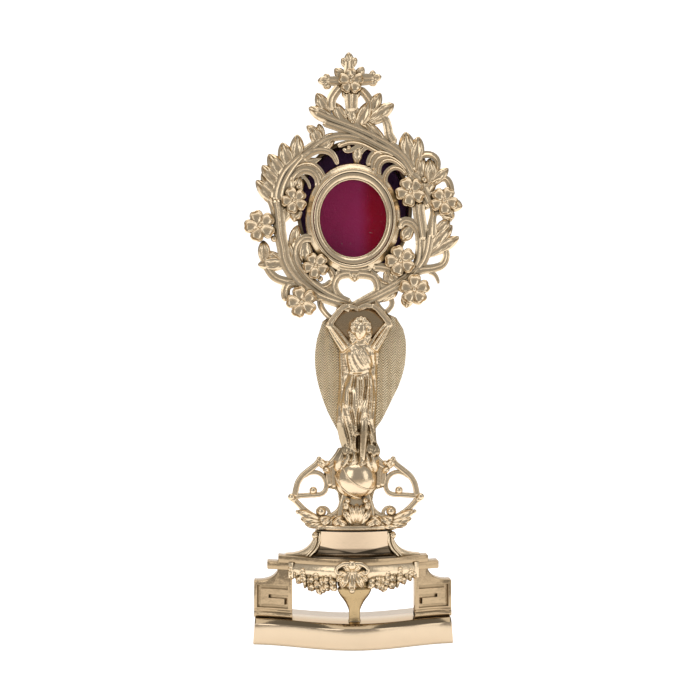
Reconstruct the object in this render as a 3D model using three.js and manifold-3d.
// A standing reliquary in cast brass. A winged figure on a globe lifts a pierced frame of
// flowers and acanthus round an oval window; below are a bowed pedestal and a bowed base.
// Millimetres, +Z up, front towards -Y, origin in the middle of the underside.
import * as THREE from 'three';
import Module from 'manifold-3d';
import { mergeVertices } from 'three/addons/utils/BufferGeometryUtils.js';

const wasm = await Module();
wasm.setup();

// Gap kept between two pieces that rest on or are screwed to each other.
const GAP = 0.3;
const HAND_GAP = 0.6;

// Width of the slivers taken off the castings, and the half width of a cutting plate.
const SLIVER = 0.3;
const FIGURE_SLIVER = 0.35;
const REACH = 60;

// The bow shared by the base plate and the pedestal: the middle stands this far in front
// of the ends, over half the width of the base.
const BOW_DEPTH = 22;
const BOW_HALF_WIDTH = 52;
const BOW_SHARPNESS = 0.9;
const BOW_STEP = 6.5;
const BASE_STEP = 4.6;

const BASE_HALF_WIDTH = 50.8;
const BASE_HEIGHT = 13;
const BASE_BAND_HEIGHT = 10.5;
const BASE_FRONT = -30.5;
const BASE_BACK = 14;
const BASE_BEVEL_RUN = 3;
const BASE_END_CHAMFER = 0.9;

const PEDESTAL_FOOT = BASE_HEIGHT + GAP;
const LEG_OUTER = 50.4;
const LEG_INNER = 31;
const LEG_TOP = 31.6;
const LEG_FRONT = -25;
const LEG_BACK = -13.5;
const CORNICE_Z = 37.8;
const LOWER_SLAB_TOP = 41.6;
const UPPER_SLAB_TOP = 44.8;
const LOWER_SLAB_HALF = 43.7;
const UPPER_SLAB_HALF = 38.1;
const PLAQUE_TOP = 58;
const NECK_HALF = 19.4;
const NECK_FOOT_HALF = 36;
const PLAQUE_HALF = 16.6;
const PLAQUE_FOOT_HALF = 21.6;
const BRIDGE_UNDERSIDE = 35.2;
const BRIDGE_HALF = 37.6;
const MOULDING_HALF = 30.5;
const BLOCK_HALF = 33;
const STRUT_HALF = 2.7;
const STRUT_HEAD_HALF = 8.6;
const STRUT_TOP = 36;
const KEY = {
  depth: 0.7, width: 1.2, outer: 47.4, inner: 33.6, hook: 42.6, low: 18.6, middle: 23.4, high: 28.2,
};

const CASTING_FOOT = PLAQUE_TOP + GAP;
const MID_Y = -14;
const GLOBE = { x: 0.9, z: 84.1, radius: 10.6 };
const WING_FRONT = -14.2;
const WING_BACK = -11.2;

// The frame: its stems and leaves start at FRAME_ROOT and are cut flat behind at FRAME_BACK.
const FRAME_BACK = -12.2;
const FRAME_ROOT = FRAME_BACK + 0.6;
const FRAME_Y = -14.2;
const WINDOW = { x: -0.4, z: 215.2, opening: 16.6, seat: 19.8, ratio: 1.165 };
const OVAL_SEGMENTS = 28;
const CASE = { x: 0.4, z: 220.2, radius: 29.3, ratio: 1.2, front: -11.9, back: 5, wall: 1.2 };

// How far the plan line stands back from its foremost point at a distance x off the middle.
function bow(x) {
  const spread = 0.5 + 0.5 * Math.cos(Math.PI * Math.min(Math.abs(x) / BOW_HALF_WIDTH, 1));
  return BOW_DEPTH * (1 - spread ** BOW_SHARPNESS);
}

// A closed three.js geometry as a solid that can be joined and cut.
function solid(geometry) {
  const bare = geometry.clone();
  bare.deleteAttribute('normal');
  bare.deleteAttribute('uv');
  const merged = mergeVertices(bare, 1e-4);
  const triVerts = Uint32Array.from(merged.index.array);
  const vertProperties = Float32Array.from(merged.attributes.position.array);
  return new wasm.Manifold(new wasm.Mesh({ numProp: 3, vertProperties, triVerts }));
}

function join(pieces) {
  return wasm.Manifold.union(pieces);
}

// The same solid without the slivers and the tiny sealed pockets that joining leaves behind.
function tidied(piece, tolerance) {
  const shells = piece.asOriginal().simplify(tolerance).decompose();
  return shells.reduce((best, shell) => (shell.volume() > best.volume() ? shell : best));
}

// Signed volume of an indexed triangle mesh; negative when it is inside out.
function signedVolume(points, index) {
  let sum = 0;
  for (let i = 0; i < index.length; i += 3) {
    const [a, b, c] = [points[index[i]], points[index[i + 1]], points[index[i + 2]]];
    sum += a.dot(b.clone().cross(c));
  }
  return sum;
}

// A skin over rings of equal count. A tip closes an end to a point, otherwise the ring is
// closed flat; outline is the flat ring used to close it.
function loft(rings, { startTip = null, endTip = null, outline = null } = {}) {
  const count = rings[0].length;
  const points = rings.flat();
  const index = [];
  for (let i = 0; i + 1 < rings.length; i += 1) {
    for (let k = 0; k < count; k += 1) {
      const a = i * count + k;
      const b = i * count + (k + 1) % count;
      index.push(a, b, b + count, a, b + count, a + count);
    }
  }
  const flat = outline ?? rings[0].map((_, k) => {
    const turn = 2 * Math.PI * k / count;
    return new THREE.Vector2(Math.cos(turn), Math.sin(turn));
  });
  const faces = THREE.ShapeUtils.triangulateShape(flat, []);
  const turned = THREE.ShapeUtils.isClockWise(flat);
  for (const [tip, first, isStart] of [[startTip, 0, true], [endTip, points.length - count, false]]) {
    if (tip) {
      const apex = points.push(tip) - 1;
      for (let k = 0; k < count; k += 1) {
        const pair = [first + k, first + (k + 1) % count];
        index.push(apex, ...(isStart ? pair.reverse() : pair));
      }
    } else {
      for (const face of faces) {
        const corners = face.map((corner) => first + corner);
        index.push(...(isStart !== turned ? corners.reverse() : corners));
      }
    }
  }
  if (signedVolume(points, index) < 0) {
    index.reverse();
  }
  const geometry = new THREE.BufferGeometry().setFromPoints(points);
  geometry.setIndex(index);
  return solid(geometry);
}

// A (y, z) profile carried along x on the bowed plan line.
function bowed(profile, xStart, xEnd, step = BOW_STEP) {
  const count = Math.max(1, Math.ceil((xEnd - xStart) / step));
  const rings = [];
  for (let i = 0; i <= count; i += 1) {
    const x = xStart + (xEnd - xStart) * i / count;
    rings.push(profile.map(([y, z]) => new THREE.Vector3(x, y + bow(x), z)));
  }
  return loft(rings, { outline: profile.map(([y, z]) => new THREE.Vector2(y, z)) });
}

function bowedBar(xStart, xEnd, yFront, yBack, zLow, zHigh, step = BOW_STEP) {
  return bowed([[yFront, zLow], [yFront, zHigh], [yBack, zHigh], [yBack, zLow]], xStart, xEnd, step);
}

// An outline seen from the front, given thickness from yFront to yBack.
function plate(shape, yFront, yBack, options = {}) {
  const geometry = new THREE.ExtrudeGeometry(shape, {
    depth: yBack - yFront, bevelEnabled: false, curveSegments: 6, ...options,
  });
  geometry.rotateX(Math.PI / 2);
  geometry.translate(0, yBack, 0);
  return solid(geometry);
}

// A ring or disc turned about an axis along Y and drawn out to an oval.
function oval(profile, { x, z, ratio }) {
  const turned = profile.map(([radius, y]) => new THREE.Vector2(radius, y));
  const geometry = new THREE.LatheGeometry(turned, OVAL_SEGMENTS);
  geometry.scale(1, 1, ratio);
  geometry.translate(x, 0, z);
  const bare = mergeVertices(geometry.deleteAttribute('uv').deleteAttribute('normal'), 1e-4);
  const points = [];
  for (let i = 0; i < bare.attributes.position.count; i += 1) {
    points.push(new THREE.Vector3().fromBufferAttribute(bare.attributes.position, i));
  }
  const index = Array.from(bare.index.array);
  if (signedVolume(points, index) < 0) {
    index.reverse();
    bare.setIndex(index);
  }
  return solid(bare);
}

// A tapering stem through points given as [x, z] or [x, z, y]: rounded in front and, unless
// it is free all round, flat behind at the plane of the casting.
function stem(points, startRadius, endRadius, { y = FRAME_Y, back = FRAME_ROOT, pace = 6 } = {}) {
  const knots = points.map(([x, z, ownY = y]) => new THREE.Vector3(x, ownY, z));
  const curve = new THREE.CatmullRomCurve3(knots, false, 'centripetal');
  const segments = Math.max(2, Math.round(curve.getLength() / pace));
  const rings = [];
  for (let i = 0; i <= segments; i += 1) {
    const t = i / segments;
    const point = curve.getPointAt(t);
    const along = curve.getTangentAt(t);
    const side = new THREE.Vector3(-along.z, 0, along.x).normalize();
    const radius = THREE.MathUtils.lerp(startRadius, endRadius, t);
    const front = -1.1 * radius;
    const rear = back === null ? 0 : Math.max(back - point.y, 0.3);
    const section = back === null
      ? [[-1, 0], [0, front], [1, 0], [0, radius]]
      : [[-1, rear], [-0.5, front], [0.5, front], [1, rear]];
    rings.push(section.map(([across, depth]) => (
      point.clone().addScaledVector(side, across * radius).add(new THREE.Vector3(0, depth, 0))
    )));
  }
  return loft(rings);
}

// One lobe of a leaf: pointed at both ends, ridged in front, flat behind, from root to tip.
function leaf([rootX, rootZ, tipX, tipZ, halfWidth], { y = FRAME_Y, back = FRAME_ROOT, rise = 1 } = {}) {
  const root = new THREE.Vector3(rootX, back, rootZ);
  const tip = new THREE.Vector3(tipX, back, tipZ);
  const side = new THREE.Vector3(-(tipZ - rootZ), 0, tipX - rootX).normalize();
  const rings = [[0.3, 0.88], [0.84, 0.88]].map(([t, width]) => {
    const point = root.clone().lerp(tip, t);
    return [[-1, 0], [0, y - back - rise * halfWidth * 0.7], [1, 0]].map(([across, depth]) => (
      point.clone().addScaledVector(side, across * halfWidth * width).add(new THREE.Vector3(0, depth, 0))
    ));
  });
  return loft(rings, { startTip: root, endTip: tip });
}

function bead(x, z, radius, y = FRAME_Y - 1) {
  const geometry = new THREE.IcosahedronGeometry(radius, 0);
  geometry.translate(x, y, z);
  return solid(geometry);
}

// A flower of five round petals about a button; turn is the direction of one petal in degrees.
function flower([x, z, radius, turn]) {
  const pieces = [bead(x, z, radius * 0.3, FRAME_Y - 2.6)];
  for (let k = 0; k < 5; k += 1) {
    const angle = THREE.MathUtils.degToRad(turn + 72 * k);
    const [cos, sin] = [Math.cos(angle), Math.sin(angle)];
    pieces.push(leaf(
      [x - cos * 0.1 * radius, z - sin * 0.1 * radius, x + cos * radius, z + sin * radius, radius * 0.5],
      { y: FRAME_Y - 1.2, rise: 0.75 },
    ));
  }
  return pieces;
}

// Base plate: an upright band, a bevel along the front edge and small chamfers at the ends.
function basePlate() {
  const profile = [
    [BASE_FRONT, 0], [BASE_FRONT, BASE_BAND_HEIGHT], [BASE_FRONT + BASE_BEVEL_RUN, BASE_HEIGHT],
    [BASE_BACK, BASE_HEIGHT], [BASE_BACK, 0],
  ];
  const ends = new THREE.Shape([
    [-BASE_HALF_WIDTH, 0], [-BASE_HALF_WIDTH + BASE_END_CHAMFER, BASE_HEIGHT],
    [BASE_HALF_WIDTH - BASE_END_CHAMFER, BASE_HEIGHT], [BASE_HALF_WIDTH, 0],
  ].map(([x, z]) => new THREE.Vector2(x, z)));
  return bowed(profile, -BASE_HALF_WIDTH, BASE_HALF_WIDTH, BASE_STEP)
    .intersect(plate(ends, -REACH, REACH));
}

// The Greek key cut into the front of a leg; side is -1 for the left leg and 1 for the right.
function keyGrooves(side) {
  const { depth, width, outer, inner, hook, low: foot, middle, high: head } = KEY;
  const bars = [
    [inner, outer, head, head + width], [outer, outer + width, foot, head + width],
    [inner, outer + width, foot, foot + width], [inner, inner + width, foot, middle + width],
    [inner, hook, middle, middle + width],
  ];
  return bars.map(([near, far, low, high]) => bowedBar(
    Math.min(side * near, side * far), Math.max(side * near, side * far),
    LEG_FRONT - 1, LEG_FRONT + depth, low, high,
  ));
}

// A swag of leaves hung between two points of the cornice and following its bow.
function swag(points) {
  const hung = points.map(([x, z]) => [x, z, LEG_FRONT + 1.5 + bow(x)]);
  const pieces = [stem(hung, 2, 2, { back: null })];
  for (let i = 1; i < hung.length; i += 1) {
    const [x, z, y] = hung[i];
    const [beforeX, beforeZ, beforeY] = hung[i - 1];
    pieces.push(bead((x + beforeX) / 2, (z + beforeZ) / 2 - 1, 2.4, (y + beforeY) / 2 - 0.8));
    if (i + 1 < hung.length) {
      pieces.push(bead(x, z - 0.6, 2.8, y - 1));
    }
  }
  return pieces;
}

// Pedestal: bowed body on two legs, two cornice slabs, cavetto neck with a plain plaque,
// swags, a leaf palmette and the strut that stands behind it.
function pedestal() {
  const front = new THREE.Shape();
  front.moveTo(-LEG_OUTER, PEDESTAL_FOOT);
  front.lineTo(-LEG_OUTER, LEG_TOP);
  front.quadraticCurveTo(-BRIDGE_HALF - 2, LEG_TOP - 0.4, -BRIDGE_HALF, CORNICE_Z + 1);
  front.lineTo(BRIDGE_HALF, CORNICE_Z + 1);
  front.quadraticCurveTo(BRIDGE_HALF + 2, LEG_TOP - 0.4, LEG_OUTER, LEG_TOP);
  front.lineTo(LEG_OUTER, PEDESTAL_FOOT);
  front.lineTo(LEG_INNER, PEDESTAL_FOOT);
  front.lineTo(LEG_INNER, BRIDGE_UNDERSIDE);
  front.lineTo(-LEG_INNER, BRIDGE_UNDERSIDE);
  front.lineTo(-LEG_INNER, PEDESTAL_FOOT);
  const legs = bowedBar(-LEG_OUTER, LEG_OUTER, LEG_FRONT, LEG_BACK, PEDESTAL_FOOT, CORNICE_Z + 1)
    .intersect(plate(front, -REACH, REACH));

  const neck = new THREE.Shape();
  neck.moveTo(-NECK_FOOT_HALF, UPPER_SLAB_TOP - 1);
  neck.lineTo(-NECK_FOOT_HALF + 2, UPPER_SLAB_TOP + 0.4);
  neck.quadraticCurveTo(-NECK_HALF - 1, UPPER_SLAB_TOP + 1.4, -NECK_HALF, PLAQUE_TOP);
  neck.lineTo(NECK_HALF, PLAQUE_TOP);
  neck.quadraticCurveTo(NECK_HALF + 1, UPPER_SLAB_TOP + 1.4, NECK_FOOT_HALF - 2, UPPER_SLAB_TOP + 0.4);
  neck.lineTo(NECK_FOOT_HALF, UPPER_SLAB_TOP - 1);
  const neckBody = bowedBar(
    -NECK_FOOT_HALF, NECK_FOOT_HALF, LEG_FRONT + 5, LEG_BACK + 2.5, UPPER_SLAB_TOP - 1, PLAQUE_TOP,
  )
    .intersect(plate(neck, -REACH, REACH));

  const plaque = new THREE.Shape();
  plaque.moveTo(-PLAQUE_FOOT_HALF, UPPER_SLAB_TOP - 1);
  plaque.quadraticCurveTo(-PLAQUE_HALF - 0.6, UPPER_SLAB_TOP + 6, -PLAQUE_HALF, PLAQUE_TOP);
  plaque.lineTo(PLAQUE_HALF, PLAQUE_TOP);
  plaque.quadraticCurveTo(PLAQUE_HALF + 0.6, UPPER_SLAB_TOP + 6, PLAQUE_FOOT_HALF, UPPER_SLAB_TOP - 1);
  const plaqueProfile = [
    [LEG_FRONT + 6, UPPER_SLAB_TOP - 1], [LEG_FRONT - 0.5, UPPER_SLAB_TOP - 1],
    [LEG_FRONT - 0.5, UPPER_SLAB_TOP + 0.3], [LEG_FRONT + 1.6, UPPER_SLAB_TOP + 2.4],
    [LEG_FRONT + 2.8, UPPER_SLAB_TOP + 5], [LEG_FRONT + 3.2, UPPER_SLAB_TOP + 8],
    [LEG_FRONT + 3.2, PLAQUE_TOP], [LEG_FRONT + 6, PLAQUE_TOP],
  ];
  const plaqueFace = bowed(plaqueProfile, -PLAQUE_FOOT_HALF, PLAQUE_FOOT_HALF)
    .intersect(plate(plaque, -REACH, REACH));

  const pieces = [
    legs, neckBody, plaqueFace,
    bowedBar(-LOWER_SLAB_HALF, LOWER_SLAB_HALF, LEG_FRONT - 0.4, LEG_BACK + 1, CORNICE_Z, LOWER_SLAB_TOP),
    bowedBar(-UPPER_SLAB_HALF, UPPER_SLAB_HALF, LEG_FRONT - 1, LEG_BACK + 1, LOWER_SLAB_TOP - 0.2,
      UPPER_SLAB_TOP),
    bowed([
      [LEG_FRONT + 1, 34.8], [LEG_FRONT - 0.8, 35.4], [LEG_FRONT - 1.7, 37.6], [LEG_FRONT - 1.7, 39.6],
      [LEG_FRONT - 0.9, 41.2], [LEG_FRONT + 1, 41.8],
    ], -MOULDING_HALF, MOULDING_HALF),
  ];
  for (const side of [-1, 1]) {
    const [near, far] = side < 0 ? [-BLOCK_HALF, -MOULDING_HALF] : [MOULDING_HALF, BLOCK_HALF];
    pieces.push(bowedBar(near, far, LEG_FRONT - 2, LEG_BACK, BRIDGE_UNDERSIDE - 1.2, LOWER_SLAB_TOP + 0.4));
    const [legNear, legFar] = side < 0 ? [-LEG_OUTER, -LEG_INNER] : [LEG_INNER, LEG_OUTER];
    pieces.push(bowedBar(legNear, legFar, LEG_FRONT - 0.9, LEG_BACK, PEDESTAL_FOOT, PEDESTAL_FOOT + 2.4));
    pieces.push(bead(side * 19.2, PLAQUE_TOP - 2.3, 2.2, LEG_FRONT + 4 + bow(19)));
    const rib = [
      [side * 22.4, UPPER_SLAB_TOP + 0.4, LEG_FRONT + 1 + bow(22)],
      [side * 19, UPPER_SLAB_TOP + 4, LEG_FRONT + 2.6 + bow(19)],
      [side * 17.4, UPPER_SLAB_TOP + 8, LEG_FRONT + 3 + bow(17)],
      [side * 17.2, PLAQUE_TOP - 0.9, LEG_FRONT + 3 + bow(17)],
    ];
    pieces.push(stem(rib, 0.9, 0.9, { back: null, pace: 5 }));
  }
  const strut = new THREE.Shape();
  const strutCurve = [[4, 22], [6.6, 25], [8.2, 28], [STRUT_HEAD_HALF, 31]];
  strut.moveTo(-STRUT_HALF - 0.5, PEDESTAL_FOOT);
  strut.lineTo(-STRUT_HALF, PEDESTAL_FOOT + 1.7);
  strut.lineTo(-STRUT_HALF, 18.8);
  strut.splineThru(strutCurve.map(([x, z]) => new THREE.Vector2(-x, z)));
  strut.lineTo(-STRUT_HEAD_HALF, STRUT_TOP);
  strut.lineTo(STRUT_HEAD_HALF, STRUT_TOP);
  strut.splineThru([...strutCurve.reverse(), [STRUT_HALF, 18.8]].map(([x, z]) => new THREE.Vector2(x, z)));
  strut.lineTo(STRUT_HALF, PEDESTAL_FOOT + 1.7);
  strut.lineTo(STRUT_HALF + 0.5, PEDESTAL_FOOT);
  pieces.push(plate(strut, LEG_FRONT + 2.2, LEG_FRONT + 6.6, { curveSegments: 4 }));

  const palmetteY = LEG_FRONT - 1.6;
  const onPalmette = { y: palmetteY, back: palmetteY + 3 };
  const palmette = [
    [-1.5, 41, -1.5, 28.2, 3.4], [-1.5, 41.5, -7.5, 31.2, 2.6], [-1.5, 41.5, 4.5, 31.2, 2.6],
    [-1.5, 36, -1.5, 43.6, 3.6],
  ];
  pieces.push(...palmette.map((lobe) => leaf(lobe, onPalmette)));
  for (const side of [-1, 1]) {
    pieces.push(bead(-1.5 + side * 6.2, 39, 2.3, palmetteY));
    pieces.push(stem([[-1.5, 42.8], [-1.5 + side * 3.6, 42.4], [-1.5 + side * 6.4, 40]], 1, 0.9, onPalmette));
  }
  pieces.push(...swag([[-31, 36.4], [-24.5, 32.8], [-18, 30.6], [-9, 33.8]]));
  pieces.push(...swag([[30, 36.4], [23, 33.6], [15, 32], [6.5, 35]]));
  const whole = join(pieces);
  const cut = join([...keyGrooves(-1), ...keyGrooves(1)]);
  return whole.subtract(cut);
}

// The arch of the raised arms, left to right: the frame ends above it, the wings below.
const ARCH = [
  [-15.8, 163.4], [-13, 165.4], [-9, 167.2], [-4, 169.4], [0.4, 169.6], [5.5, 171], [10.6, 170.2],
  [15.6, 168], [21.4, 165.4],
];

// Outlines of the wings and of the cloud under the feet, from the shoulders down.
const WING_LEFT = [
  [-18.4, 156], [-19.6, 147.6], [-19.5, 140.5], [-18.2, 132.5], [-15.8, 124.4], [-12.6, 116.4], [-8, 107.6],
  [-5.8, 100.4], [-8, 95.8], [-11.2, 92.6], [-14.2, 89], [-15.6, 83], [-12.6, 79.4], [-8.6, 78], [-7.4, 72],
];
const WING_RIGHT = [
  [25, 159.6], [26.3, 153.6], [26.3, 147], [25.6, 140.5], [23.1, 132], [19, 123.4], [14.5, 114.3],
  [10.4, 107.6], [10.8, 100.4], [12.4, 95.6], [15.2, 91.6], [17, 86], [17.6, 81.6], [14, 79.4], [10.6, 78], [9.2, 72],
];

// Body of the figure in level rings: height, middle, half width, how far forward.
const BODY = [
  [104.5, 2, 6.6, -18.6], [110, 1.6, 8.4, -20.6], [117, 1.8, 9, -21.8], [124, 2.2, 9.2, -22.6],
  [131, 2.9, 8.6, -22.2], [136, 3.6, 7.2, -21], [138.6, 3.8, 6.4, -20.4], [142, 3.7, 7.8, -21.6],
  [146.5, 3.5, 9, -22], [150.5, 3, 8.6, -20.8], [153.2, 2, 3, -19.4],
];

// The raised folds of the robe: points down the fold, then its thickness at each end.
const FOLDS = [
  [[[-1, 149], [2.5, 144.5], [8, 139.6]], 1.1, 0.8, -20.8],
  [[[2, 149.8], [5.5, 145.5], [9.4, 141.4]], 1.1, 0.8, -20.9],
  [[[-2.6, 146], [0.4, 142.6], [4.2, 139.4]], 1.1, 0.8, -20.8],
  [[[7.2, 137.6], [7.4, 130], [6.6, 122], [3, 112]], 1.3, 1, -21.2],
  [[[-2.4, 136.5], [-4.4, 128], [-3.6, 118], [0.4, 107.6]], 1.7, 1, -21.2],
  [[[3.4, 136.5], [0.6, 127], [0.4, 117], [1, 107.4]], 1, 0.9, -21.4],
  [[[9.8, 133], [10.6, 122], [9.6, 112], [10.8, 104]], 1.2, 1, -18.4],
  [[[-6.4, 127], [-6.6, 117], [-4.8, 106], [-2.4, 99]], 1.5, 1.3, -18.4],
];

// Arms raised to the frame with the hands crossed over its lowest stems; swell thickens them.
const ARMS = [
  [[[-4.6, 149.6, -17.5], [-9.6, 155.4, -17.5], [-13, 160.4, -17]], 3.2, 2.3],
  [[[-13, 160.4, -17], [-8.6, 165.6, -17.4], [-3.4, 169, -17.8]], 2.2, 1.6],
  [[[11, 150, -17.5], [15.2, 156.6, -17.5], [18.2, 162.4, -17]], 3.2, 2.3],
  [[[18.2, 162.4, -17], [14, 167.4, -17.4], [6, 170.8, -17.8]], 2.2, 1.6],
  [[[-3.8, 168.8, -17.8], [0.4, 169.6, -18], [7, 170.6, -17.8]], 1.8, 1.8],
];

function arms(swell) {
  const pieces = ARMS.map(([points, startRadius, endRadius]) => (
    stem(points, startRadius + swell, endRadius + swell, { back: null })
  ));
  for (const [x, z] of [[-13, 160.4], [18.2, 162.4]]) {
    pieces.push(bead(x, z, 2.4 + swell, -17));
  }
  return pieces;
}

function angelFigure() {
  const edge = [...ARCH.slice().reverse(), ...WING_LEFT, ...WING_RIGHT.slice().reverse()];
  const wings = new THREE.Shape(edge.map(([x, z]) => new THREE.Vector2(x, z)));
  const pieces = [plate(wings, WING_FRONT, WING_BACK)];

  const rings = BODY.map(([z, x, halfWidth, yFront]) => {
    const ring = [];
    for (let k = 0; k <= 6; k += 1) {
      const angle = Math.PI * k / 6;
      ring.push(new THREE.Vector3(
        x - halfWidth * Math.cos(angle), MID_Y + 0.5 + (yFront - MID_Y - 0.5) * Math.sin(angle) ** 0.8, z,
      ));
    }
    return ring;
  });
  pieces.push(loft(rings));
  for (const [points, startRadius, endRadius, y] of FOLDS) {
    pieces.push(stem(points, startRadius, endRadius, { y, back: null, pace: 7 }));
  }

  pieces.push(...arms(0));

  // Head, bowed a little to one side, with a cap of curls.
  const head = new THREE.IcosahedronGeometry(4.6, 1);
  head.scale(0.92, 1, 1.16);
  head.rotateY(0.16);
  head.translate(1.6, -19.6, 159.4);
  pieces.push(solid(head));
  pieces.push(stem([[2.4, 151], [2, 157]], 2.6, 2.4, { y: -18, back: null }));
  for (let k = 0; k < 9; k += 1) {
    const angle = -0.5 + (Math.PI + 1) * k / 8;
    pieces.push(bead(1.8 + 4.5 * Math.cos(angle), 160 + 4.9 * Math.sin(angle), 1.9, -18.4));
  }

  // Lower legs and the end of the robe blown to the right.
  pieces.push(stem([[5.6, 118, -18.5], [5, 106, -18], [4.6, 97, -17.5]], 2.6, 1.7, { back: null }));
  pieces.push(stem([[4.6, 97.6, -17.5], [4.4, 94, -19]], 1.9, 1.6, { back: null, pace: 3 }));
  pieces.push(stem([[-5, 116, -16.5], [-4.4, 106, -15.6], [-2.6, 96, -15]], 3.2, 1.8, { back: null }));
  pieces.push(leaf([7.2, 116, 11.8, 97, 2.2], { y: -15, back: WING_BACK }));
  return pieces;
}

// Scroll brackets either side of the globe: points, thickness at each end.
const SCROLLS = [
  [[[-19.6, 76.6], [-25, 76.2], [-30.4, 74.8]], 2.2, 1.8],
  [[[22.6, 77], [27, 76.8], [31.6, 75.4]], 2, 1.9],
  [[[-8.6, 88.6], [-14.4, 88.2], [-13, 83.6], [-14.2, 78.6], [-17.8, 75.6], [-21.8, 77], [-20.8, 79.4]], 2.2, 1.3],
  [[[-9, 90], [-18, 89], [-24.4, 86.8], [-28.4, 82.2], [-30.2, 75]], 2.5, 1.8],
  [[[-31.4, 74.4], [-27.4, 71], [-23.9, 67.6], [-18.6, 65.4], [-15.6, 67], [-17.4, 69.2]], 1.6, 1.2],
  [[[-8.6, 91], [-14.4, 91], [-19, 91.6], [-18.2, 94]], 2, 1.3],
  [[[10.6, 88.6], [17, 87.4], [15.4, 82.8], [17.4, 78.6], [22, 76], [25.2, 77.4], [23.4, 79.6]], 2.2, 1.3],
  [[[11, 90], [19.6, 89], [25.8, 86.2], [29.8, 82], [31.6, 75.4]], 2.5, 1.8],
  [[[32.4, 75], [29.4, 71.6], [26.4, 68], [21.4, 65.8], [17.6, 67.2], [19, 69.6]], 1.6, 1.2],
  [[[10.6, 91.4], [16.4, 91], [22.6, 91.8], [22, 93.8]], 2, 1.3],
];

// Leaves of the cresting over the plaque: root, tip, half width.
const CRESTING = [
  [-6, 60.6, -29, 66.8, 3.4], [-8, 61, -27.4, 63.4, 2.6], [-10, 60, -22, 60.2, 1.6],
  [8, 60.6, 30.2, 66.4, 3.4], [10, 61, 28.4, 63.2, 2.6], [12, 60, 23.6, 60.2, 1.6],
  [-5, 60, -14.6, 66.8, 3.2], [7, 60, 16.6, 66.8, 3.2],
  [-8, 88.6, -24, 86.4, 3.4], [10, 88.6, 25.4, 85.6, 3.4],
  [0.9, 59.4, -8.6, 71.6, 3], [0.9, 59.4, -4.4, 74, 2.8], [0.9, 59.4, 0.9, 74.6, 2.8],
  [0.9, 59.4, 6.2, 74, 2.8], [0.9, 59.4, 10.4, 71.6, 3],
];

function brackets() {
  const pieces = [];
  const globe = new THREE.IcosahedronGeometry(GLOBE.radius, 2);
  globe.translate(GLOBE.x, MID_Y, GLOBE.z);
  pieces.push(solid(globe));
  const belt = new THREE.CylinderGeometry(GLOBE.radius + 0.3, GLOBE.radius + 0.3, 2.4, 32);
  belt.rotateZ(-0.9);
  belt.rotateX(0.3);
  belt.translate(GLOBE.x, MID_Y, GLOBE.z);
  pieces.push(solid(belt));
  for (const [points, startRadius, endRadius] of SCROLLS) {
    pieces.push(stem(points, startRadius, endRadius, { y: MID_Y, back: MID_Y + 2.4, pace: 5 }));
  }
  for (const [x, z, radius] of [[-31.4, 75, 2], [32.6, 75.6, 2], [-20.4, 78, 2.2], [24, 78.4, 2.2]]) {
    pieces.push(bead(x, z, radius, MID_Y));
  }
  for (const [x, z] of [[-17, 69], [18.8, 68.8]]) {
    pieces.push(bead(x, z, 3, MID_Y - 1));
  }
  for (const lobe of CRESTING) {
    pieces.push(leaf(lobe, { y: MID_Y - 3.5, back: MID_Y + 2, rise: 1.2 }));
  }
  for (const x of [-4, 5.6]) {
    pieces.push(bead(x, 73.6, 1.7, MID_Y - 5.6));
  }
  const stand = [
    [59, 10.8, 5.6], [64, 9.6, 5.2], [69, 9.2, 4.8], [77, 7, 4.4],
  ].map(([z, halfWidth, halfDepth]) => [[-1, -1], [1, -1], [1, 1], [-1, 1]].map(([across, depth]) => (
    new THREE.Vector3(GLOBE.x + across * halfWidth, MID_Y - 1 + depth * halfDepth, z)
  )));
  pieces.push(loft(stand));
  pieces.push(bowedBar(-18.6, 18.6, LEG_FRONT + 5, LEG_BACK + 0.5, CASTING_FOOT, CASTING_FOOT + 2.6));
  return pieces;
}

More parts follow.
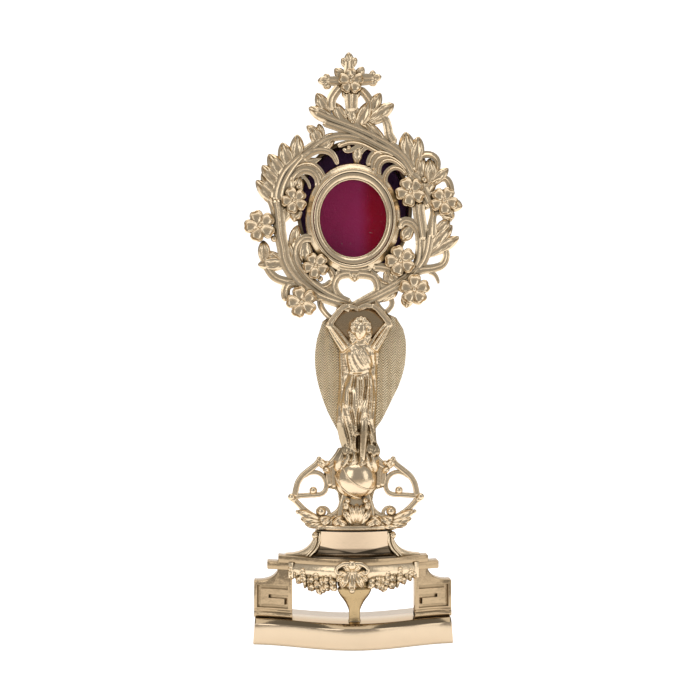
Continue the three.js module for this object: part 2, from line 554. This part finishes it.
// Stems of the frame: points, thickness at each end.
const STEMS = [
  [[[-1.9, 286.1], [-2.4, 290.1], [-2.5, 295.7]], 3.1, 1.83],
  [[[-4.9, 284.4], [-9.5, 284.4], [-14, 284.4]], 2.68, 1.98],
  [[[1.6, 285.1], [6.1, 285.3], [10.2, 285.4]], 3.1, 2.4],
  [[[-6.5, 282.1], [-9.5, 278.5], [-11.5, 274.5], [-11.2, 269.5]], 2.26, 2.4],
  [[[2.9, 280.7], [6.1, 277.5], [8.2, 273.7], [8.2, 269]], 1.98, 2.12],
  [[[-1.4, 279], [-1.4, 274], [-1.1, 269]], 3.53, 2.68],
  [[[-19.6, 269], [-12.5, 265.7], [-4.4, 262.7], [3.6, 259.6], [11.7, 255.8], [19.3, 251.3], [25.8, 245.8],
    [30.3, 239.2]], 2.26, 2.54],
  [[[-15.5, 263.7], [-8.5, 261.4], [-1.4, 258.9], [5.6, 255.6], [13.2, 251.8], [20.3, 248], [25.8, 243.2],
    [29.3, 236.7]], 1.98, 2.54],
  [[[-37.2, 223.1], [-36.2, 229.6], [-33.2, 236.7], [-28.1, 243.8], [-22.1, 249.5], [-16, 254.1],
    [-10, 256.2], [-3.4, 256.7], [2.6, 255.5], [8.7, 252.8], [14.7, 249.3]], 2.4, 1.83],
  [[[-39.7, 224.1], [-38.5, 231.2], [-35.2, 238.7], [-29.4, 244.8], [-23.1, 250.3],
    [-17.5, 254.1]], 2.4, 1.83],
  [[[12.7, 266.4], [15.7, 265.2], [17, 261.4], [17.7, 257.4], [20.3, 252.8]], 1.83, 2.4],
  [[[-26.6, 245.6], [-22.6, 248.3], [-18, 249.8], [-13.5, 249.3], [-10.2, 246.8],
    [-8.2, 242.5]], 2.82, 0.99],
  [[[-31.7, 238.7], [-28.1, 241.7], [-24.1, 242.9], [-20.1, 242.1], [-16.8, 239.2],
    [-14.8, 235.4]], 1.83, 1.13],
  [[[-31.7, 234.2], [-29.1, 237.7], [-25.6, 239.5], [-21.6, 239], [-18.8, 236.4], [-17.8, 232.7],
    [-18.3, 228.6]], 2.26, 1.55],
  [[[-28.6, 238], [-25.4, 236.2], [-23.1, 233.4], [-22.1, 230.1]], 0.92, 0.85],
  [[[-8, 251.6], [-4.4, 253.1], [-0.4, 253.8], [4.6, 252.8], [9.7, 250.3], [15.2, 247.3]], 1.27, 1.69],
  [[[-5.4, 250.3], [-3.9, 249.3], [-1.4, 249.5], [1.1, 251.1], [4.1, 251.8]], 1.27, 1.27],
  [[[7.7, 251.6], [4.9, 250.1], [3.1, 247.3]], 1.27, 0.99],
  [[[7.5, 241.7], [8, 244.8], [9.7, 247.5], [12.7, 249], [16.7, 248.5], [20.8, 246.3]], 1.69, 1.83],
  [[[9.9, 239.2], [10.4, 243.2], [12.2, 245.8], [15.7, 247], [19.8, 246], [23.8, 243.2],
    [27.3, 239.2]], 1.69, 1.83],
  [[[12.4, 236.7], [12.3, 240.2], [13.7, 243.5], [17, 245.1], [20.8, 244.3], [24.3, 241.5],
    [27.3, 237.2]], 1.55, 1.55],
  [[[15.7, 231.2], [15.5, 235.7], [17.2, 239.2], [20.5, 241.1], [24, 240.2], [26.8, 237.2]], 1.62, 1.41],
  [[[30.8, 238.2], [32.4, 245.3], [35.9, 247.7], [39.9, 247.1], [42.2, 244.3], [41.9, 240.2],
    [39.4, 237.2]], 1.98, 1.41],
  [[[38.4, 232.7], [42.4, 235.2], [46.5, 235.5], [48.5, 232.7], [49.3, 228.1]], 1.69, 1.69],
  [[[27.8, 237.7], [31.9, 233.7], [35.9, 227.6], [38.4, 221.6]], 2.68, 2.68],
  [[[39.9, 221.1], [39.7, 216.5], [39.4, 211.5], [38.9, 205.4]], 1.13, 2.96],
  [[[39.4, 213.5], [40.6, 217], [42.9, 218.4], [45.5, 217], [46.2, 214], [44.5, 210.5]], 1.27, 1.27],
  [[[32.4, 223.6], [32.9, 217.5], [33.9, 211.5], [34.9, 204.4]], 3.03, 2.68],
  [[[23.3, 210], [23.5, 212.7], [26.3, 214.1], [29.8, 212.7], [32.4, 209], [33.2, 203.9], [33.1, 198.4],
    [31.9, 192.8], [27.8, 187.8], [21.8, 183.3], [14.7, 179.2], [6.7, 174.7], [-0.4, 170.7]], 1.98, 2.26],
  [[[39.4, 222.6], [40.2, 218], [39.4, 213.2], [38.2, 208.5]], 1.34, 2.12],
  [[[38.4, 210], [37.7, 204.4], [36.6, 198.4], [33.9, 192.3], [28.8, 186.8], [22.8, 181.8], [15.7, 177.7],
    [7.7, 173.7], [0.1, 170.2]], 2.26, 2.4],
  [[[46.4, 199.9], [46.6, 195.9], [44.3, 191.8], [39.4, 190.1], [34.4, 189.6], [30.3, 188.3]], 1.55, 2.4],
  [[[37.4, 188.8], [40.4, 187.6], [42.1, 185.3], [42.9, 182.5]], 1.41, 0.71],
  [[[7.7, 189.3], [10.7, 185.8], [14.2, 183.3], [18.2, 181.8]], 1.55, 1.69],
  [[[9.2, 190.8], [13.7, 190.6], [17.7, 189.5], [19.8, 186.3]], 1.83, 2.4],
  [[[-18, 180.2], [-14, 181.1], [-10.5, 183.5]], 1.69, 2.12],
  [[[-13, 190.3], [-11, 187.8], [-10, 184.8]], 1.69, 1.98],
  [[[39.4, 228.9], [43.9, 228.4], [48, 229.6]], 1.41, 1.55],
  [[[18.7, 175.5], [19.3, 172.2], [17.7, 169.4], [15.2, 167.6]], 1.34, 1.34],
  [[[10.7, 176.2], [10.9, 172.7], [13.2, 169.4], [16.2, 167.1]], 1.98, 1.55],
  [[[-20.1, 204.7], [-23.6, 205.5], [-26.9, 204.3], [-29.1, 201.2], [-29.6, 196.9], [-28.4, 192.3],
    [-25.6, 187.8], [-21.3, 183.3], [-15.5, 179], [-9, 175.5], [-1.9, 172.2]], 1.83, 2.4],
  [[[-39.2, 224.6], [-38.2, 218.6], [-37.6, 212], [-36.9, 206], [-35.7, 200.4], [-34.9, 194.9],
    [-32.9, 190.1], [-29.6, 185.3], [-25.6, 181.3], [-20.1, 177.7], [-13, 174.7], [-5.4, 172.2],
    [-0.4, 170.2]], 3.1, 2.54],
  [[[-42.5, 226.1], [-40.5, 221.1], [-39, 215], [-38.2, 209], [-37.2, 202.9]], 2.12, 2.12],
  [[[-44.8, 195.4], [-43.2, 189.8], [-39.7, 185.5], [-34.7, 183.6], [-28.6, 183]], 1.83, 2.26],
  [[[-25.1, 182], [-30.1, 182.8], [-33.7, 181], [-34.5, 177.5], [-33.7, 173.7]], 2.26, 2.12],
  [[[-42.2, 198.4], [-38, 195.4], [-33.7, 192.1], [-31.1, 187.8]], 1.27, 1.55],
  [[[-25.1, 178.5], [-20.1, 176.2], [-14.5, 173.7]], 1.83, 1.83],
  [[[-0.9, 187.5], [-5.4, 187.2], [-8.8, 185.5], [-10.2, 182], [-9.1, 177.7], [-5.9, 174.2],
    [-1.9, 170.7]], 2.33, 1.98],
  [[[1.1, 187.5], [6.1, 187.1], [10, 185.8], [12.1, 182.3], [11.4, 178.2], [8.2, 174.3],
    [2.6, 169.9]], 2.54, 1.69],
  [[[-8.5, 190], [-3.9, 189.2], [0.1, 188.8], [4.1, 189.1], [8.7, 190.1]], 2.26, 2.26],
  [[[-17.2, 174.7], [-16.5, 170.7], [-14, 167.1], [-11, 164.6]], 1.62, 1.41],
  [[[-8.3, 173.7], [-7.4, 170.4], [-8.5, 167.6], [-11, 165.1]], 1.41, 1.27],
];

// Single lobes of the frame's leaves: root, tip, half width.
const LEAVES = [
  [-2.4, 290.6, -2.6, 299.2, 2.4], [-2.6, 291.1, -6.1, 296.2, 1.98], [-2.1, 291.1, 1.3, 296.4, 1.83],
  [-3.4, 285.1, -9.8, 290.8, 2.54], [0.6, 285.1, 4.9, 291.8, 2.26], [-11.5, 284.4, -18.3, 284.8, 2.12],
  [-12.5, 284.6, -14.8, 288.1, 1.69], [-12.5, 284.6, -14.7, 280.5, 2.26], [8.7, 285.4, 14, 287.1, 1.83],
  [9.2, 285.3, 9.6, 290.2, 1.69], [9.2, 285.3, 10.5, 282.1, 2.05], [-1.4, 276, -5.6, 280.3, 2.54],
  [-1.4, 276, 2.8, 280.4, 2.54], [-1.1, 272, -4.9, 265.4, 2.26], [-1.1, 271, -0.8, 262.4, 2.4],
  [-1.1, 272, 2.9, 265.9, 2.26], [-12.5, 266.9, -18.8, 278.5, 3.25], [-9.5, 263.9, -22.8, 271.2, 3.25],
  [-3.4, 260.9, -10.5, 274, 3.25], [7.2, 266.9, 13.5, 278.8, 3.1], [8.2, 264.9, 20.3, 273.2, 3.39],
  [6.7, 263.4, 17.4, 267.6, 2.4], [0.6, 259.4, 8.7, 274.7, 3.53], [17.2, 249.3, 5.4, 264.4, 3.25],
  [13.2, 251.8, 1.1, 263.4, 3.53], [-17, 251.3, -20.8, 261.4, 3.25], [-17, 256.9, -23.9, 261.9, 2.12],
  [-16, 253.3, -17.7, 263.1, 2.26], [-18.5, 251.3, -9, 258.1, 2.54], [-18.5, 249.3, -9.5, 255.5, 2.68],
  [-35.7, 220.6, -49.3, 234.4, 3.95], [-37.2, 226.1, -46.5, 238, 3.39], [-36.2, 230.1, -46.3, 241.9, 3.53],
  [-33.7, 233.7, -43, 247.6, 4.09], [-31.7, 237.7, -36.2, 253.5, 3.95], [-29.1, 240.7, -28.4, 257.6, 3.67],
  [-34.7, 226.1, -31.1, 237.2, 3.25], [-30.1, 225.1, -27.4, 236.7, 3.1], [38.9, 231.7, 38.2, 245.8, 3.53],
  [-24.4, 203.4, -24.8, 192.3, 3.67], [-31.9, 200.4, -28.1, 212, 2.54], [-28.1, 221.6, -30.3, 213.5, 2.96],
  [-26.6, 201.9, -29.8, 206.5, 2.82], [-44.8, 192.3, -45.6, 204.2, 3.1], [14.2, 174.2, 22.3, 179.2, 2.4],
  [-18.5, 244.8, -25.6, 242.2, 2.12], [31.3, 235.7, 28.3, 231.7, 2.96], [43.4, 221.1, 50.7, 215.5, 3.1],
  [2.1, 252.3, 1.4, 242.5, 2.4], [27.8, 241.7, 26.1, 259.2, 4.23], [30.3, 239.7, 32.7, 256.9, 3.81],
  [32.9, 234.2, 34.9, 246.8, 2.68], [36.4, 232.2, 42.4, 243.4, 2.54], [37.9, 231.7, 47.8, 240.9, 2.82],
  [33.9, 226.1, 41.2, 234.9, 2.96], [35.9, 221.1, 42.4, 229.6, 3.25], [47, 222.6, 55, 221.6, 3.1],
  [44.5, 221.1, 49.5, 214, 2.82], [29.3, 211.5, 24.1, 203.9, 3.25], [40.9, 207.5, 48.5, 215, 2.82],
  [37.4, 198.9, 49.8, 212.2, 3.53], [38.4, 197.1, 53.3, 206.3, 3.1], [16.7, 181.8, 17, 190.3, 2.12],
  [27.3, 178.2, 26.5, 170.2, 3.1], [29.3, 179.2, 33.9, 172, 3.1], [22.8, 182.3, 17.7, 188.8, 2.82],
  [-35.2, 193.4, -44.3, 198.1, 2.4], [-32.7, 192.6, -48.4, 191.9, 3.53], [-32.2, 191.3, -33.9, 204.4, 2.96],
  [0.1, 192.3, 0.4, 183.3, 3.53], [-36.2, 213.5, -32.2, 221.6, 2.82], [-38.7, 212.5, -43.7, 216.5, 2.12],
];

const BEADS = [
  [-17, 184.8, 1.51], [35.4, 234.7, 1.81], [-40.2, 204.9, 1.71], [-27.9, 230.8, 1.71], [-2.6, 251, 1.16],
  [-1.4, 278.7, 1.51], [-0.8, 263.7, 1.31], [-4.2, 266.6, 1.21], [2.4, 266.9, 1.21],
];

const FLOWERS = [
  [-30.1, 224.1, 6.55, 40], [-47.3, 211.3, 7.96, 110], [-26.3, 173.1, 7.96, 105], [-19.3, 191.3, 6.65, 190],
  [28.3, 228.6, 7.56, 45], [45.3, 224.1, 7.16, 60], [30.3, 179.4, 7.86, 18], [23.3, 193.9, 7.81, 180],
  [-1.6, 284.1, 6.45, 90],
];

function foliageFrame() {
  const pieces = STEMS.map(([points, startRadius, endRadius]) => stem(points, startRadius, endRadius));
  pieces.push(...LEAVES.map((lobe) => leaf(lobe)));
  pieces.push(...BEADS.map(([x, z, radius]) => bead(x, z, radius, FRAME_Y)));
  pieces.push(...FLOWERS.flatMap((spot) => flower(spot)));
  const inner = WINDOW.seat + GAP;
  pieces.push(oval([
    [inner, -16.4], [inner + 0.7, -17.2], [inner + 1.7, -15.9], [inner + 3.9, -14.8],
    [inner + 4.1, FRAME_ROOT], [inner, FRAME_ROOT], [inner, -16.4],
  ], WINDOW));
  const behind = solid(
    new THREE.BoxGeometry(2 * REACH, REACH, 3 * REACH).translate(0, FRAME_BACK + REACH / 2, WINDOW.z),
  );
  const below = [[-REACH, 140], ...ARCH, [REACH, 140]];
  const arch = new THREE.Shape(below.map(([x, z]) => new THREE.Vector2(x, z + GAP)));
  const cuts = join([behind, plate(arch, -REACH, 0), ...arms(HAND_GAP)]);
  return tidied(tidied(join(pieces), SLIVER).subtract(cuts), SLIVER);
}

// A stepped rim that holds the pane against the frame.
function windowBezel() {
  const { opening, seat } = WINDOW;
  return oval([
    [opening, -14.6], [opening + 0.4, -16.2], [opening + 1.6, -17.6], [seat - 0.6, -17.6],
    [seat, -16.2], [seat, -11], [seat - 1.2, -11], [seat - 1.2, -13.2], [opening, -13.2],
    [opening, -14.6],
  ], WINDOW);
}

function windowGlass() {
  const edge = WINDOW.seat - 1.5;
  return oval([[0, -12.9], [edge, -12.9], [edge, -11.4], [0, -11.4]], WINDOW);
}

// An oval box, open in front, with a rolled rim and a plain back.
function relicCase() {
  const { radius, front, back, wall } = CASE;
  const side = radius - 0.6;
  return oval([
    [0, back], [side - 1, back], [side, back - 1], [side, front + 1.8], [radius, front + 0.9],
    [side, front], [side - wall, front], [side - wall, back - wall], [0, back - wall],
  ], CASE);
}

function velvetLining() {
  const { radius, back, wall } = CASE;
  const edge = radius - 0.6 - wall - GAP;
  const face = back - wall - GAP;
  return oval([[0, face], [edge, face], [edge, face - 1.2], [0, face - 1.2]], CASE);
}

const brass = { color: 0xc8a877, roughness: 0.3, metalness: 1 };
const PIECES = [
  ['base_plate', basePlate(), brass],
  ['pedestal', tidied(pedestal(), SLIVER), brass],
  ['angel', tidied(join([...angelFigure(), ...brackets()]), FIGURE_SLIVER), brass],
  ['foliage_frame', foliageFrame(), brass],
  ['window_bezel', windowBezel(), { color: 0xd2b486, roughness: 0.22, metalness: 1 }],
  ['window_glass', windowGlass(), { color: 0xe8eef0, roughness: 0.05, metalness: 0 }],
  ['velvet_lining', velvetLining(), { color: 0x6e1030, roughness: 0.95, metalness: 0 }],
  ['relic_case', relicCase(), { color: 0xb89a68, roughness: 0.35, metalness: 1 }],
];

const reliquary = new THREE.Group();
reliquary.name = 'angel_reliquary';
for (const [name, piece, look] of PIECES) {
  const shape = piece.getMesh();
  const geometry = new THREE.BufferGeometry();
  geometry.setAttribute('position', new THREE.BufferAttribute(shape.vertProperties, 3));
  geometry.setIndex(new THREE.BufferAttribute(shape.triVerts, 1));
  geometry.computeVertexNormals();
  const mesh = new THREE.Mesh(geometry, new THREE.MeshStandardMaterial(look));
  mesh.name = name;
  reliquary.add(mesh);
}

export default reliquary;
